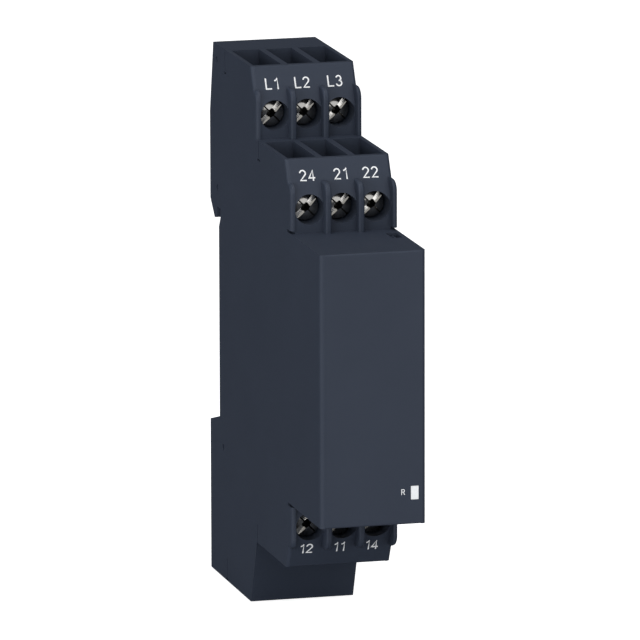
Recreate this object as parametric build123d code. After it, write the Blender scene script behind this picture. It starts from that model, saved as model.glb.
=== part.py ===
# Three-phase control relay for a 35 mm mounting rail, one 17.5 mm module wide.
#
# Frame: X runs across the module, Y runs back towards the rail, Z is up.
# The origin is the centre of the face that rests on the rail.
# All lengths are millimetres and all angles are degrees.

import math
import os
from dataclasses import dataclass

from build123d import *

# Working overlaps: how far a cut runs past a face, and how far a joined body runs into its neighbour
PAST = 1.0
SKIN = 0.1
ROOT = 0.2

# Overall size
MODULE_WIDTH = 17.5
FRONT_DEPTH = 65.7        # rail face to front face
REAR_DEPTH = 6.3          # rail face to the back of the lower block
UPPER_REAR_DEPTH = 5.7    # rail face to the back of the upper block
TOP = 45.0
BOTTOM = -45.0
FRONT_TOP = 21.9          # ledge above the front face
FRONT_BOTTOM = -22.9      # underside of the front face
MIDDLE_TOP = 33.5         # top of the middle terminal row
LOWER_END = -34.0         # underside of the lower terminal row

# Moulded walls
SIDE_WALL = 0.75          # side walls where they stand beside the terminals
INNER_SIDE_WALL = 1.5     # the moulded side wall around the hollow
SHELL_WALL = 1.3
FRONT_EDGE_RADIUS = 0.7
LEDGE_EDGE_RADIUS = 0.3
SIDE_EDGE_RADIUS = 0.6

# Back of the housing
TOP_BACK = 3.3            # the top is drawn in from the back face
BACK_SLANT_HEIGHT = 12.0
RAIL_HEIGHT = 35.0
RAIL_CLEARANCE = 0.1
HOOK_REACH = 2.15         # how far the hook hangs below the roof of the rail slot
HOOK_LIP = 1.15           # front of the lip that reaches behind the rail
HOOK_LIP_RISE = 0.3
HOOK_TIP = 2.8            # rail face to the lowest point of the hook
HOOK_CHAMFER = 2.85
RELIEF_DEPTH = 1.1        # relief that lets the module tip onto the rail
RELIEF_HEIGHT = 1.5
RELIEF_SLOPE = 1.7
LOWER_LIP_GAP = 0.35      # lower edge of the rail to the lower block
LOWER_LIP_DROP = 1.65
SEAT_WALL = 2.5

# Blank block under the lower terminal row
FOOT_BLOCK_FRONT = -24.6
FOOT_BLOCK_BOTTOM = -20.4

# Terminal rows
POLE_PITCH = 5.5
ROW_PITCH = 22.0
UPPER_FACE = -25.1        # screw face of the upper row
LABEL_SETBACK = 3.5       # label edge behind the screw face
LABEL_TILT = 28.0
LEFT_WALL_REACH = 0.2     # left side wall in front of the screw face
RIGHT_WALL_REACH = 1.7
BARRIER_REACH = 1.7
BARRIER_WIDTH = 1.0
BARRIER_EDGE_RADIUS = 0.35
LEFT_NOSE_DROP = 3.5      # top of the row to the nose of a wall
NOSE_DROP = 3.3
LEFT_NOSE_RADIUS = 1.7
NOSE_RADIUS = 2.0
BLOCK_CLEARANCE = 0.05
SLIT_HEIGHT = 0.45
SLIT_DEPTH = 2.5

# Wire entries
ENTRY_WIDTH = 4.4
ENTRY_BACK_WALL = 1.0
ENTRY_MOUTH = 4.6         # front of the mouth behind the screw face
FUNNEL_DEPTH = 3.0
BLOCK_FLOOR = 0.7

# Clamp: screw, cage and contact bar
SCREW_RISE = 3.8          # screw axis above the foot of its row
WELL_DIAMETER = 4.9
WELL_DEPTH = 4.6
CLAMP_WALL = 1.1
HEAD_DIAMETER = 4.4
HEAD_RIM = 1.4
HEAD_DOME = 0.55
HEAD_CHAMFER = 0.15
SHANK_DIAMETER = 2.9
SHANK_LENGTH = 9.2
TIP_CHAMFER = 0.4
THREAD_CLEARANCE = 0.05
SLOT_WIDTH = 0.95
SLOT_DEPTH = 0.75
CROSS_WIDTH = 0.25
CROSS_DEPTH = 0.5
RECESS_DIAMETER = 1.6
RECESS_DEPTH = 1.8
SLOT_ANGLE = 45.0
CAGE_WIDTH = 4.0
CAGE_HEIGHT = 5.2
CAGE_SIDE = 0.4
CAGE_FRONT = 1.5
CAGE_BACK = 0.8
CAGE_TRAVEL = 2.4
CAGE_FRONT_GAP = 0.2      # cage to chamber wall when the clamp is closed
CAGE_BACK_GAP = 1.0       # cage to chamber wall when the clamp is open
WIRE_GAP = 2.6            # room for the wire when the clamp is open
BAR_THICKNESS = 0.8
BAR_WIDTH = 3.0
BAR_TIP_GAP = 0.1
BAR_TAIL_WIDTH = 1.2
BAR_TAIL_SHIFT = 1.0
BAR_FOOT_HEIGHT = 0.8
BAR_FOOT_STEP = 1.8
BAR_FOOT_START = 1.2      # first foot below the shell wall

# Front details
LAMP_WIDTH = 1.25
LAMP_HEIGHT = 2.2
LAMP_X = 6.9
LAMP_Z = -17.75
LAMP_CLEARANCE = 0.05
GUIDE_INSET = 0.2         # front edge of the board to the guide
GUIDE_GAP = 0.1           # lamp chip to the guide
SNAP_X = 6.2              # inner edge of the snap windows
SNAP_FRONT = -54.6
SNAP_LENGTH = 4.1
SNAP_TONGUE = 0.8
SNAP_CLEARANCE = 0.1
BARB_RAMP = 1.0           # run of the barb's ramp from the tongue's edge
BARB_TIP = 0.2            # flat behind the ramp
BARB_START = 0.2          # rise of the ramp's low end over the tongue
BARB_INSET = 0.4          # barb below the face of the ledge

# Marks and pegs on the sides
PEG_DIAMETER = 2.2
PEG_LENGTH = 4.0
PEG_BOSS_DIAMETER = 4.4
PEG_CLEARANCE = 0.05
PEG_END_GAP = 0.5         # end of a peg to the bottom of its hole
PEG_Y = (1.0, 1.0, -2.3)
PEG_INSET = 2.6           # top of the module to the first peg
PEG_RISE = 3.2            # roof of the rail slot to the second peg
PEG_FALL = 4.85           # lower lip to the third peg
PIT_DIAMETER = 1.1
PIT_DEPTH = 0.5
GROOVE_WIDTH = 0.25
GROOVE_DEPTH = 0.3
GROOVE_LENGTH = 3.4
GROOVE_FOOT = 0.8
GROOVE_INSET = 0.4
GROOVE_SETBACK = 2.0      # back of the lower block to its groove

# Circuit board
BOARD_THICKNESS = 1.2
BOARD_X = -6.6            # back of the board
BOARD_MARGIN = 0.5
BOARD_BACK = -5.0
BOARD_PIN_DIAMETER = 2.0
BOARD_BOSS_DIAMETER = 4.0
BOARD_PIN_REACH = 0.4
BOARD_PIN_CLEARANCE = 0.05
BOARD_PIN_INSET = 3.5     # shell wall to the middle of a pin
BOARD_PIN_BACK_INSET = 2.5
BOARD_PIN_RISE = 3.0      # lower edge of the board to a pin

# Parts on the board
RELAY_LENGTH = 28.5
RELAY_WIDTH = 10.0
RELAY_HEIGHT = 12.3
RELAY_WALL = 0.7
RELAY_CLEARANCE = 0.05
RELAY_BASE = 1.6
RELAY_SETBACK = 10.7      # front face to the middle of the first relay
RELAY_PITCH = 11.0
CAPACITOR_DIAMETER = 8.0
CAPACITOR_HEIGHT = 11.5
CAPACITOR_CHAMFER = 0.6
CAPACITOR_YZ = (-23.0, -14.0)
FILM_CAPACITOR_SIZE = (11.0, 8.0, 18.0)
FILM_CAPACITOR_YZ = (-13.0, -6.0)
VARISTOR_DIAMETER = 9.0
VARISTOR_THICKNESS = 4.0
VARISTOR_YZ = (-20.0, 14.0)
VARISTOR_LIFT = 1.0       # disc above the board
VARISTOR_LEG_WIDTH = 0.8
VARISTOR_LEG_SPAN = 4.0
VARISTOR_LEG_HEIGHT = 2.0
CHIP_SIZE = 7.0
CHIP_HEIGHT = 1.2
CHIP_YZ = (-27.5, 2.0)
LED_HEIGHT = 0.8

# Relay mechanism, measured along the relay (u), across it (v) and off the board (w)
YOKE_THICKNESS = 1.0
YOKE_START = 1.6
YOKE_FOOT = 2.2
YOKE_TOP = 10.8
YOKE_WIDTH = 6.0
CORE_DIAMETER = 2.6
CORE_REACH = 0.4
COIL_SPARE = 14.3         # relay length that the coil leaves for the contacts
COIL_FLANGE = 0.8
COIL_DIAMETER = 6.6
BOBBIN_WALL = 0.5
BOBBIN_CLEARANCE = 0.05
BOBBIN_FLANGE_SIZE = 7.0
AIR_GAP = 0.7
ARMATURE_THICKNESS = 1.0
ARMATURE_WIDTH = 6.0
HINGE_GAP = 0.1
ARMATURE_RISE = 0.4       # foot of the yoke to the foot of the armature
BLADE_THICKNESS = 0.3
BLADE_WIDTH = 3.0
BLADE_LENGTH = 6.4
BLADE_W = 8.9
CONTACT_DIAMETER = 2.0
CONTACT_HEIGHT = 0.35
CONTACT_OPEN_GAP = 0.55
CONTACT_REST_GAP = 0.02
CONTACT_STRIP = 0.4
CONTACT_POST_GAP = 0.3    # post to the end wall

# Rail latch
LATCH_WIDTH = 6.8
LATCH_FRONT = 1.15
LATCH_THICKNESS = 3.4
LATCH_CLEARANCE = 0.1
LATCH_TRAVEL = 2.2
LATCH_FOOT = -43.6
LATCH_EAR = 0.7
LATCH_EAR_HEIGHT = 3.0
LATCH_EAR_FOOT = -34.0
LATCH_SLOT_WIDTH = 3.6
LATCH_SLOT_HEIGHT = 1.4
LATCH_SLOT_RISE = 1.2

HALF_WIDTH = MODULE_WIDTH / 2
INNER_HALF = HALF_WIDTH - SIDE_WALL
CAVITY_LEFT = -HALF_WIDTH + INNER_SIDE_WALL
BOARD_FACE = BOARD_X + BOARD_THICKNESS
SLOT_ROOF = RAIL_HEIGHT / 2 + RAIL_CLEARANCE
LOWER_LIP_HEIGHT = -RAIL_HEIGHT / 2 - LOWER_LIP_GAP
BOARD_FOOT = FRONT_BOTTOM + SHELL_WALL + BOARD_MARGIN
RELAY_FOOT = -RELAY_LENGTH / 2
COIL_LENGTH = RELAY_LENGTH - COIL_SPARE
CLAMP_RUN = SHANK_LENGTH + BAR_TIP_GAP + BAR_THICKNESS + WIRE_GAP + CAGE_BACK
BLOCK_DEPTH = WELL_DEPTH + CLAMP_RUN + CAGE_BACK_GAP + ENTRY_BACK_WALL
LABEL_SLOPE = math.tan(math.radians(LABEL_TILT))
PEG_PLACES = (
    (PEG_Y[0], TOP - PEG_INSET),
    (PEG_Y[1], SLOT_ROOF + PEG_RISE),
    (PEG_Y[2], LOWER_LIP_HEIGHT - PEG_FALL),
)


@dataclass
class Row:
    """One terminal row: its end, its foot, its screw face and its side of the module."""

    name: str
    end: float
    foot: float
    face: float

    @property
    def up(self):
        return 1 if self.end > self.foot else -1

    @property
    def label_edge(self):
        return self.face + LABEL_SETBACK

    @property
    def back(self):
        return self.face + BLOCK_DEPTH

    @property
    def axis_z(self):
        return self.foot + self.up * SCREW_RISE

    def z(self, above_foot):
        """Height of a point that lies this far from the foot of the row."""
        return self.foot + self.up * above_foot

    def label_plane(self, below_end):
        """A point of the slanted label face, this far from the end of the row."""
        return (self.label_edge - LABEL_SLOPE * below_end, self.end - self.up * below_end)


ROWS = (
    Row("upper", TOP, MIDDLE_TOP, UPPER_FACE),
    Row("middle", MIDDLE_TOP, FRONT_TOP, UPPER_FACE - ROW_PITCH),
    Row("lower", LOWER_END, FRONT_BOTTOM, UPPER_FACE - ROW_PITCH),
)
POLES = (-POLE_PITCH, 0.0, POLE_PITCH)


def slab(points, x_low, x_high):
    """A side profile, given as (y, z) points, drawn out across the module."""
    face = Plane.YZ.offset(x_low) * make_face(Polyline(*points, close=True))
    return extrude(face, x_high - x_low)


def box(x, y, z):
    """A block between two values on each axis."""
    size = [abs(high - low) for low, high in (x, y, z)]
    centre = [(low + high) / 2 for low, high in (x, y, z)]
    return Pos(*centre) * Box(*size)


def rod_x(y, z, x_low, x_high, diameter):
    """A round bar along X."""
    return Pos((x_low + x_high) / 2, y, z) * Rot(0, 90, 0) * Cylinder(diameter / 2, x_high - x_low)


def rod_y(x, z, y_low, y_high, diameter):
    """A round bar along Y."""
    return Pos(x, (y_low + y_high) / 2, z) * Rot(90, 0, 0) * Cylinder(diameter / 2, y_high - y_low)


def nose(row, reach, drop):
    """The top of a terminal wall's nose: where it leaves the label face, and its front corner."""
    return row.label_plane(drop), (row.face - reach, row.end - row.up * drop)


def back_outline():
    """The back of the housing from the top down: slanted top, rail hook, rail face, lower lip."""
    tip = SLOT_ROOF - HOOK_REACH
    relief = SLOT_ROOF - RELIEF_HEIGHT
    return [
        (TOP_BACK, TOP),
        (UPPER_REAR_DEPTH, TOP - BACK_SLANT_HEIGHT),
        (UPPER_REAR_DEPTH, tip + HOOK_CHAMFER),
        (HOOK_TIP, tip),
        (HOOK_LIP, tip + HOOK_LIP_RISE),
        (HOOK_LIP, SLOT_ROOF),
        (-RELIEF_DEPTH, SLOT_ROOF),
        (-RELIEF_DEPTH, relief),
        (0.0, relief - RELIEF_SLOPE),
        (0.0, LOWER_LIP_HEIGHT),
        (REAR_DEPTH, LOWER_LIP_HEIGHT - LOWER_LIP_DROP),
        (REAR_DEPTH, BOTTOM),
        (FOOT_BLOCK_BOTTOM, BOTTOM),
        (FOOT_BLOCK_FRONT, LOWER_END),
    ]


def side_plate(x_low, x_high, reach, drop, nose_radius):
    """A side wall with the full side view of the module, noses and slits included."""
    upper, middle, lower = ROWS
    noses = [nose(row, reach, drop) for row in ROWS]
    slit_back = middle.face - reach + SLIT_DEPTH
    points = back_outline()
    points += [(lower.label_edge, lower.end), *noses[2]]
    points += [
        (lower.face - reach, FRONT_BOTTOM - SLIT_HEIGHT),
        (slit_back, FRONT_BOTTOM - SLIT_HEIGHT),
        (slit_back, FRONT_BOTTOM),
        (-FRONT_DEPTH, FRONT_BOTTOM),
        (-FRONT_DEPTH, FRONT_TOP),
        (slit_back, FRONT_TOP),
        (slit_back, FRONT_TOP + SLIT_HEIGHT),
        (middle.face - reach, FRONT_TOP + SLIT_HEIGHT),
    ]
    points += [*reversed(noses[1]), (middle.label_edge, middle.end)]
    points += [(upper.face - reach, upper.foot)]
    points += [*reversed(noses[0]), (upper.label_edge, upper.end)]
    plate = slab(points, x_low, x_high)
    plate = fillet([edge_at(plate, corner) for _, corner in noses], nose_radius)
    outer_x = max(x_low, x_high, key=abs)
    return fillet(soft_edges(plate, outer_x), SIDE_EDGE_RADIUS)


def soft_edges(plate, outer_x):
    """The rounded edges of a side wall's outer face: those beside the labels and the noses."""
    chosen = []
    for edge in plate.edges():
        middle = edge.center()
        if abs(middle.X - outer_x) > 0.001 or edge.length < 1.0:
            continue
        for row in ROWS:
            above_foot = (middle.Z - row.foot) * row.up
            below_end = (row.end - middle.Z) * row.up
            if above_foot > 2 * SLIT_HEIGHT and below_end > 0.1 and middle.Y < row.label_edge:
                chosen.append(edge)
    return chosen


def edge_at(part, point):
    """The edge along X that passes through a (y, z) point."""
    y, z = point
    along_x = part.edges().filter_by(Axis.X)
    return along_x.sort_by(lambda e: abs(e.center().Y - y) + abs(e.center().Z - z))[0]


def shell_outline():
    """The stepped outline of the housing behind and under the terminal blocks."""
    upper, middle, lower = ROWS
    return back_outline() + [
        (lower.back, lower.end),
        (lower.back, FRONT_BOTTOM),
        (-FRONT_DEPTH, FRONT_BOTTOM),
        (-FRONT_DEPTH, FRONT_TOP),
        (middle.back, FRONT_TOP),
        (middle.back, MIDDLE_TOP),
        (upper.back, MIDDLE_TOP),
        (upper.back, TOP),
    ]


def cavity_outline():
    """The hollow of the housing, one shell wall inside its outline."""
    upper, middle, lower = ROWS
    wall = SHELL_WALL
    hook_floor = SLOT_ROOF + wall
    return [
        (-FRONT_DEPTH + wall, FRONT_TOP - wall),
        (middle.back + wall, FRONT_TOP - wall),
        (middle.back + wall, MIDDLE_TOP - wall),
        (upper.back + wall, MIDDLE_TOP - wall),
        (upper.back + wall, TOP - wall),
        (TOP_BACK - wall, TOP - wall),
        (UPPER_REAR_DEPTH - wall, TOP - BACK_SLANT_HEIGHT),
        (UPPER_REAR_DEPTH - wall, hook_floor),
        (-SEAT_WALL, hook_floor),
        (-SEAT_WALL, BOTTOM + wall),
        (FOOT_BLOCK_BOTTOM + wall, BOTTOM + wall),
        (FOOT_BLOCK_FRONT + wall, LOWER_END + wall),
        (lower.back + wall, LOWER_END + wall),
        (lower.back + wall, FRONT_BOTTOM + wall),
        (-FRONT_DEPTH + wall, FRONT_BOTTOM + wall),
    ]


def board_pins():
    """The (y, z) places of the four pins that carry the circuit board."""
    low_y = -FRONT_DEPTH + SHELL_WALL + BOARD_PIN_INSET
    high_y = BOARD_BACK - BOARD_PIN_BACK_INSET
    low_z = BOARD_FOOT + BOARD_PIN_RISE
    return (
        (low_y, low_z),
        (low_y, FRONT_TOP - SHELL_WALL - BOARD_PIN_INSET),
        (high_y, low_z),
        (high_y, MIDDLE_TOP - SHELL_WALL - BOARD_PIN_INSET),
    )


def tail_x(pole):
    """The middle of a contact bar's tail, beside its pole."""
    return pole + BAR_TAIL_SHIFT


def bar_y(row):
    """The front of the contact bar of a row."""
    return row.face + WELL_DEPTH + SHANK_LENGTH + BAR_TIP_GAP


def tail_slot(row, pole):
    """The slot that lets a contact bar's tail through the block floor and the shell wall."""
    clearance = BLOCK_CLEARANCE
    half = BAR_TAIL_WIDTH / 2 + clearance
    x = (tail_x(pole) - half, tail_x(pole) + half)
    y = (bar_y(row) - clearance, bar_y(row) + BAR_THICKNESS + clearance)
    return box(x, y, (row.z(-SHELL_WALL - SKIN), row.z(BLOCK_FLOOR + SKIN)))


def snap_window(ledge, up):
    """The opening in a ledge that a snap of the side cover engages."""
    y = (SNAP_FRONT, SNAP_FRONT + SNAP_LENGTH)
    return box((SNAP_X, INNER_HALF), y, (ledge - up * (SHELL_WALL + SKIN), ledge + up * SKIN))


def lamp_window():
    """The opening in the front that the light guide ends in."""
    half_width = LAMP_WIDTH / 2 + LAMP_CLEARANCE
    half_height = LAMP_HEIGHT / 2 + LAMP_CLEARANCE
    return box(
        (LAMP_X - half_width, LAMP_X + half_width),
        (-FRONT_DEPTH - PAST, -FRONT_DEPTH + SHELL_WALL + PAST),
        (LAMP_Z - half_height, LAMP_Z + half_height),
    )


def latch_channel():
    """The guide that the rail latch slides in, with the grooves for its ears."""
    gap = LATCH_CLEARANCE
    half = LATCH_WIDTH / 2 + gap
    y = (LATCH_FRONT - gap, LATCH_FRONT + LATCH_THICKNESS + gap)
    groove_z = (LATCH_EAR_FOOT - gap, LATCH_EAR_FOOT + LATCH_EAR_HEIGHT + LATCH_TRAVEL + gap)
    groove = box((-half - LATCH_EAR, half + LATCH_EAR), y, groove_z)
    return box((-half, half), y, (BOTTOM - PAST, LOWER_LIP_HEIGHT + PAST)) + groove


def housing():
    """The deep half of the casing: front, stepped walls, rail hook and left side."""
    body = slab(shell_outline(), -HALF_WIDTH, INNER_HALF)
    front_edges = [edge_at(body, (-FRONT_DEPTH, z)) for z in (FRONT_TOP, FRONT_BOTTOM)]
    body = fillet(front_edges, LEDGE_EDGE_RADIUS)
    body += side_plate(-HALF_WIDTH, -INNER_HALF, LEFT_WALL_REACH, LEFT_NOSE_DROP, LEFT_NOSE_RADIUS)
    body -= slab(cavity_outline(), CAVITY_LEFT, INNER_HALF + PAST)
    inside = slab(shell_outline(), -HALF_WIDTH, INNER_HALF)
    peg_hole = PEG_DIAMETER + 2 * PEG_CLEARANCE
    for y, z in PEG_PLACES:
        body += rod_x(y, z, CAVITY_LEFT - ROOT, INNER_HALF, PEG_BOSS_DIAMETER) & inside
        body -= rod_x(y, z, INNER_HALF - PEG_LENGTH - PEG_END_GAP, INNER_HALF, peg_hole)
        body -= rod_x(y, z, -HALF_WIDTH, -HALF_WIDTH + PIT_DEPTH, PIT_DIAMETER)
    for y, z in board_pins():
        body += rod_x(y, z, CAVITY_LEFT - ROOT, BOARD_X, BOARD_BOSS_DIAMETER)
        body += rod_x(y, z, BOARD_X - ROOT, BOARD_FACE + BOARD_PIN_REACH, BOARD_PIN_DIAMETER)
    for row in ROWS:
        for pole in POLES:
            body -= tail_slot(row, pole)
    body -= snap_window(FRONT_TOP, 1) + snap_window(FRONT_BOTTOM, -1)
    body -= latch_channel()
    body -= lamp_window()
    for y, z in groove_places():
        body -= groove(y, z)
    front_left = body.edges().filter_by(Axis.Z).sort_by(lambda e: e.center().X + e.center().Y)[0]
    return fillet(front_left, FRONT_EDGE_RADIUS)


def groove(y, z):
    """The short upright groove over a retaining snap, with its foot."""
    x = (-HALF_WIDTH, -HALF_WIDTH + GROOVE_DEPTH)
    upright = box(x, (y - GROOVE_WIDTH / 2, y + GROOVE_WIDTH / 2), (z, z + GROOVE_LENGTH))
    return upright + box(x, (y - GROOVE_FOOT, y + GROOVE_FOOT), (z - GROOVE_WIDTH, z))


def groove_places():
    """The lower ends (y, z) of the short upright grooves beside the terminal blocks."""
    upper, middle, lower = ROWS
    inset = GROOVE_INSET
    return (
        (upper.back + inset, TOP - inset - GROOVE_LENGTH),
        (middle.back + inset, MIDDLE_TOP + inset - GROOVE_LENGTH),
        (lower.back + GROOVE_SETBACK, LOWER_END - inset),
        (upper.back + inset, BOTTOM + inset),
    )


def side_cover():
    """The flat half of the casing, with pegs and two snaps that hold it in the housing."""
    cover = side_plate(INNER_HALF, HALF_WIDTH, RIGHT_WALL_REACH, NOSE_DROP, NOSE_RADIUS)
    front_right = cover.edges().filter_by(Axis.Z).sort_by(lambda e: e.center().Y - e.center().X)[0]
    cover = fillet(front_right, FRONT_EDGE_RADIUS)
    for y, z in PEG_PLACES:
        cover += rod_x(y, z, INNER_HALF - PEG_LENGTH, INNER_HALF + ROOT, PEG_DIAMETER)
    for ledge, up in ((FRONT_TOP, 1), (FRONT_BOTTOM, -1)):
        cover += snap(ledge, up)
    return cover


def snap(ledge, up):
    """A tongue under the ledge whose barb stands in the snap window."""
    gap = SNAP_CLEARANCE
    y = (SNAP_FRONT + gap, SNAP_FRONT + SNAP_LENGTH - gap)
    tongue_top = ledge - up * (SHELL_WALL + gap)
    tongue = box((SNAP_X, INNER_HALF + ROOT), y, (tongue_top - up * SNAP_TONGUE, tongue_top))
    ramp_end = SNAP_X + BARB_RAMP
    barb_points = [
        (SNAP_X + gap, tongue_top - up * SKIN),
        (SNAP_X + gap, tongue_top + up * BARB_START),
        (ramp_end, ledge - up * BARB_INSET),
        (ramp_end + BARB_TIP, ledge - up * BARB_INSET),
        (ramp_end + BARB_TIP, tongue_top - up * SKIN),
    ]
    barb_face = Plane.XZ.offset(-y[1]) * make_face(Polyline(*barb_points, close=True))
    return tongue + extrude(barb_face, y[1] - y[0])


def block_profile(row):
    """The side view of a terminal block: foot, screw face, label face, end and back."""
    bend = LABEL_SETBACK / LABEL_SLOPE
    return [
        (row.back - BLOCK_CLEARANCE, row.foot),
        (row.face, row.foot),
        (row.face, row.end - row.up * bend),
        (row.label_edge, row.end),
        (row.back - BLOCK_CLEARANCE, row.end),
    ]


def barrier(row, x):
    """One rounded wall between two screws."""
    start, corner = nose(row, BARRIER_REACH, NOSE_DROP)
    points = [
        (row.face + LABEL_SETBACK, row.foot),
        (corner[0], row.foot),
        corner,
        start,
        (row.face + LABEL_SETBACK, start[1]),
    ]
    wall = slab(points, x - BARRIER_WIDTH / 2, x + BARRIER_WIDTH / 2)
    wall = fillet(edge_at(wall, corner), NOSE_RADIUS)
    soft = [
        edge
        for edge in wall.edges()
        if abs(abs(edge.center().X - x) - BARRIER_WIDTH / 2) < 0.001
        and edge.center().Y < row.face
        and abs(edge.center().Z - row.foot) > 1.0
    ]
    return fillet(soft, BARRIER_EDGE_RADIUS)


def entry_span(pole):
    """The width of a wire entry; the outer ones are open to the side walls."""
    left = -INNER_HALF if pole < 0 else pole - ENTRY_WIDTH / 2
    right = INNER_HALF if pole > 0 else pole + ENTRY_WIDTH / 2
    return left, right


def entry(row, pole):
    """The hollow that a wire goes down: a mouth that narrows to the clamp chamber."""
    chamber_front = row.face + WELL_DEPTH + CLAMP_WALL
    back = row.back - ENTRY_BACK_WALL
    funnel_foot = row.end - row.up * FUNNEL_DEPTH
    past_end = row.end + row.up * SKIN
    points = [
        (chamber_front, row.z(BLOCK_FLOOR)),
        (chamber_front, funnel_foot),
        (row.face + ENTRY_MOUTH, row.end),
        (row.face + ENTRY_MOUTH, past_end),
        (back, past_end),
        (back, row.z(BLOCK_FLOOR)),
    ]
    return slab(points, *entry_span(pole))


def terminal_block(row):
    """A three-pole terminal block with its screw wells, wire entries and barriers."""
    block = slab(block_profile(row), -INNER_HALF, INNER_HALF)
    block = fillet(edge_at(block, (row.label_edge, row.end)), LEDGE_EDGE_RADIUS)
    for x in (-POLE_PITCH / 2, POLE_PITCH / 2):
        block += barrier(row, x)
    for pole in POLES:
        block -= entry(row, pole)
        block -= rod_y(pole, row.axis_z, row.face, row.face + WELL_DEPTH, WELL_DIAMETER)
        hole = SHANK_DIAMETER + 2 * THREAD_CLEARANCE
        block -= rod_y(pole, row.axis_z, row.face, row.face + WELL_DEPTH + CLAMP_WALL + SKIN, hole)
        block -= tail_slot(row, pole)
    return block


def screw(row, pole):
    """A terminal screw: domed head with slot and cross recess, and its shank."""
    radius = HEAD_DIAMETER / 2
    seat = row.face + WELL_DEPTH
    rim = HEAD_RIM
    dome_radius = (radius**2 + HEAD_DOME**2) / (2 * HEAD_DOME)
    middle = radius / 2
    middle_rise = HEAD_DOME - (dome_radius - math.sqrt(dome_radius**2 - middle**2))
    outline = Line((0, 0), (radius - HEAD_CHAMFER, 0))
    outline += Line((radius - HEAD_CHAMFER, 0), (radius, HEAD_CHAMFER))
    outline += Line((radius, HEAD_CHAMFER), (radius, rim))
    outline += ThreePointArc((radius, rim), (middle, rim + middle_rise), (0, rim + HEAD_DOME))
    outline += Line((0, rim + HEAD_DOME), (0, 0))
    head = revolve(Plane.XZ * make_face(outline), Axis.Z)
    top = rim + HEAD_DOME
    span = 2 * (radius + PAST)
    cut_height = 2 * PAST
    head -= Pos(0, 0, top + PAST - SLOT_DEPTH) * Box(span, SLOT_WIDTH, cut_height)
    head -= Pos(0, 0, top + PAST - CROSS_DEPTH) * Box(CROSS_WIDTH, span, cut_height)
    side = RECESS_DIAMETER / math.sqrt(2)
    for turn in (0, 45):
        head -= Pos(0, 0, top + PAST - RECESS_DEPTH) * Rot(0, 0, turn) * Box(side, side, cut_height)
    shank = Pos(0, 0, -SHANK_LENGTH / 2) * Cylinder(SHANK_DIAMETER / 2, SHANK_LENGTH)
    tip_edge = shank.edges().sort_by(Axis.Z)[0]
    shank = chamfer(tip_edge, TIP_CHAMFER)
    whole = Rot(0, 0, SLOT_ANGLE) * (head + shank)
    return Pos(pole, seat, row.axis_z) * Rot(90, 0, 0) * whole


def cage_front(row):
    """The front of an open clamp cage."""
    return row.face + WELL_DEPTH + CLAMP_WALL + CAGE_FRONT_GAP + CAGE_TRAVEL


def cage(row, pole):
    """A clamp cage: a folded ring round the wire, with a threaded front."""
    front = cage_front(row)
    inner_front = front + CAGE_FRONT
    inner_back = bar_y(row) + BAR_THICKNESS + WIRE_GAP
    back = inner_back + CAGE_BACK
    half, half_height = CAGE_WIDTH / 2, CAGE_HEIGHT / 2
    z = (row.axis_z - half_height, row.axis_z + half_height)
    ring = box((pole - half, pole + half), (front, back), z)
    rear_edges = ring.edges().filter_by(Axis.Z).sort_by(Axis.Y)[-2:]
    ring = fillet(rear_edges, CAGE_BACK * 0.9)
    inner = half - CAGE_SIDE
    ring -= box((pole - inner, pole + inner), (inner_front, inner_back), (z[0] - PAST, z[1] + PAST))
    hole = SHANK_DIAMETER + 2 * THREAD_CLEARANCE
    return ring - rod_y(pole, row.axis_z, front - PAST, inner_front + PAST, hole)


def contact_bar(row, index):
    """A stamped contact bar: the plate in the cage, the tail and the foot on the board."""
    pole = POLES[index]
    plate_foot = row.z(BLOCK_FLOOR)
    plate_end = row.z(SCREW_RISE + CAGE_HEIGHT / 2)
    foot_top = row.z(-SHELL_WALL - BAR_FOOT_START - index * BAR_FOOT_STEP)
    foot_low = foot_top - row.up * BAR_FOOT_HEIGHT
    tail = (tail_x(pole) - BAR_TAIL_WIDTH / 2, tail_x(pole) + BAR_TAIL_WIDTH / 2)
    points = [
        (pole - BAR_WIDTH / 2, plate_end),
        (pole + BAR_WIDTH / 2, plate_end),
        (pole + BAR_WIDTH / 2, plate_foot),
        (tail[1], plate_foot),
        (tail[1], foot_low),
        (BOARD_FACE, foot_low),
        (BOARD_FACE, foot_top),
        (tail[0], foot_top),
        (tail[0], plate_foot),
        (pole - BAR_WIDTH / 2, plate_foot),
    ]
    face = Plane.XZ.offset(-bar_y(row)) * make_face(Polyline(*points, close=True))
    return extrude(face, -BAR_THICKNESS)


def circuit_board():
    """The circuit board, flat against the left wall of the housing."""
    upper, middle, lower = ROWS
    front = -FRONT_DEPTH + SHELL_WALL + BOARD_MARGIN
    middle_step = middle.back + SHELL_WALL + BOARD_MARGIN
    points = [
        (front, BOARD_FOOT),
        (front, FRONT_TOP - SHELL_WALL - BOARD_MARGIN),
        (middle_step, FRONT_TOP - SHELL_WALL - BOARD_MARGIN),
        (middle_step, MIDDLE_TOP - SHELL_WALL - BOARD_MARGIN),
        (BOARD_BACK, MIDDLE_TOP - SHELL_WALL - BOARD_MARGIN),
        (BOARD_BACK, BOARD_FOOT),
    ]
    board = slab(points, BOARD_X, BOARD_FACE)
    hole = BOARD_PIN_DIAMETER + 2 * BOARD_PIN_CLEARANCE
    for y, z in board_pins():
        board -= rod_x(y, z, BOARD_X - PAST, BOARD_FACE + PAST, hole)
    return board


def status_led():
    """The small lamp chip behind the light guide."""
    y = guide_y()
    z = (LAMP_Z - LAMP_HEIGHT / 2, LAMP_Z + LAMP_HEIGHT / 2)
    return box((BOARD_FACE, BOARD_FACE + LED_HEIGHT), y, z)


def guide_y():
    """The front and back of the light guide's cross run."""
    low = -FRONT_DEPTH + SHELL_WALL + BOARD_MARGIN + GUIDE_INSET
    return (low, low + LAMP_WIDTH)


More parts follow.
